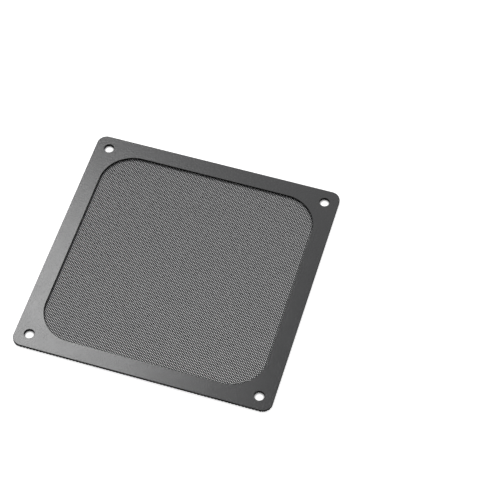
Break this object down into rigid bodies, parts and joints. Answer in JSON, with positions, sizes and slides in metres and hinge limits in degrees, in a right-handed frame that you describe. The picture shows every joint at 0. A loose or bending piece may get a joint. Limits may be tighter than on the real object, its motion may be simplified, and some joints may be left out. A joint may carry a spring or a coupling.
{
  "type": "fan dust filter",
  "caption": "Square magnetic fan dust filter: a flexible magnet frame with a screw hole at each corner, bonded over a fine perforated screen.",
  "frame": {"origin": "centre of the underside, on the back of the perforated screen", "axes": "+Z out of the magnetic frame's face, X and Y along the sides of the square"},
  "size_m": [0.14, 0.14, 0.0018],
  "materials": {
    "screen_film": "matt black PVC film, finely perforated",
    "adhesive_film": "thin black double-sided adhesive film",
    "frame_magnet": "satin black flexible magnet sheet, die-cut"
  },
  "bodies": {
    "root": {"mesh_screen": "screen_film", "adhesive_ring": "adhesive_film", "magnetic_frame": "frame_magnet"}
  },
  "joints": []
}
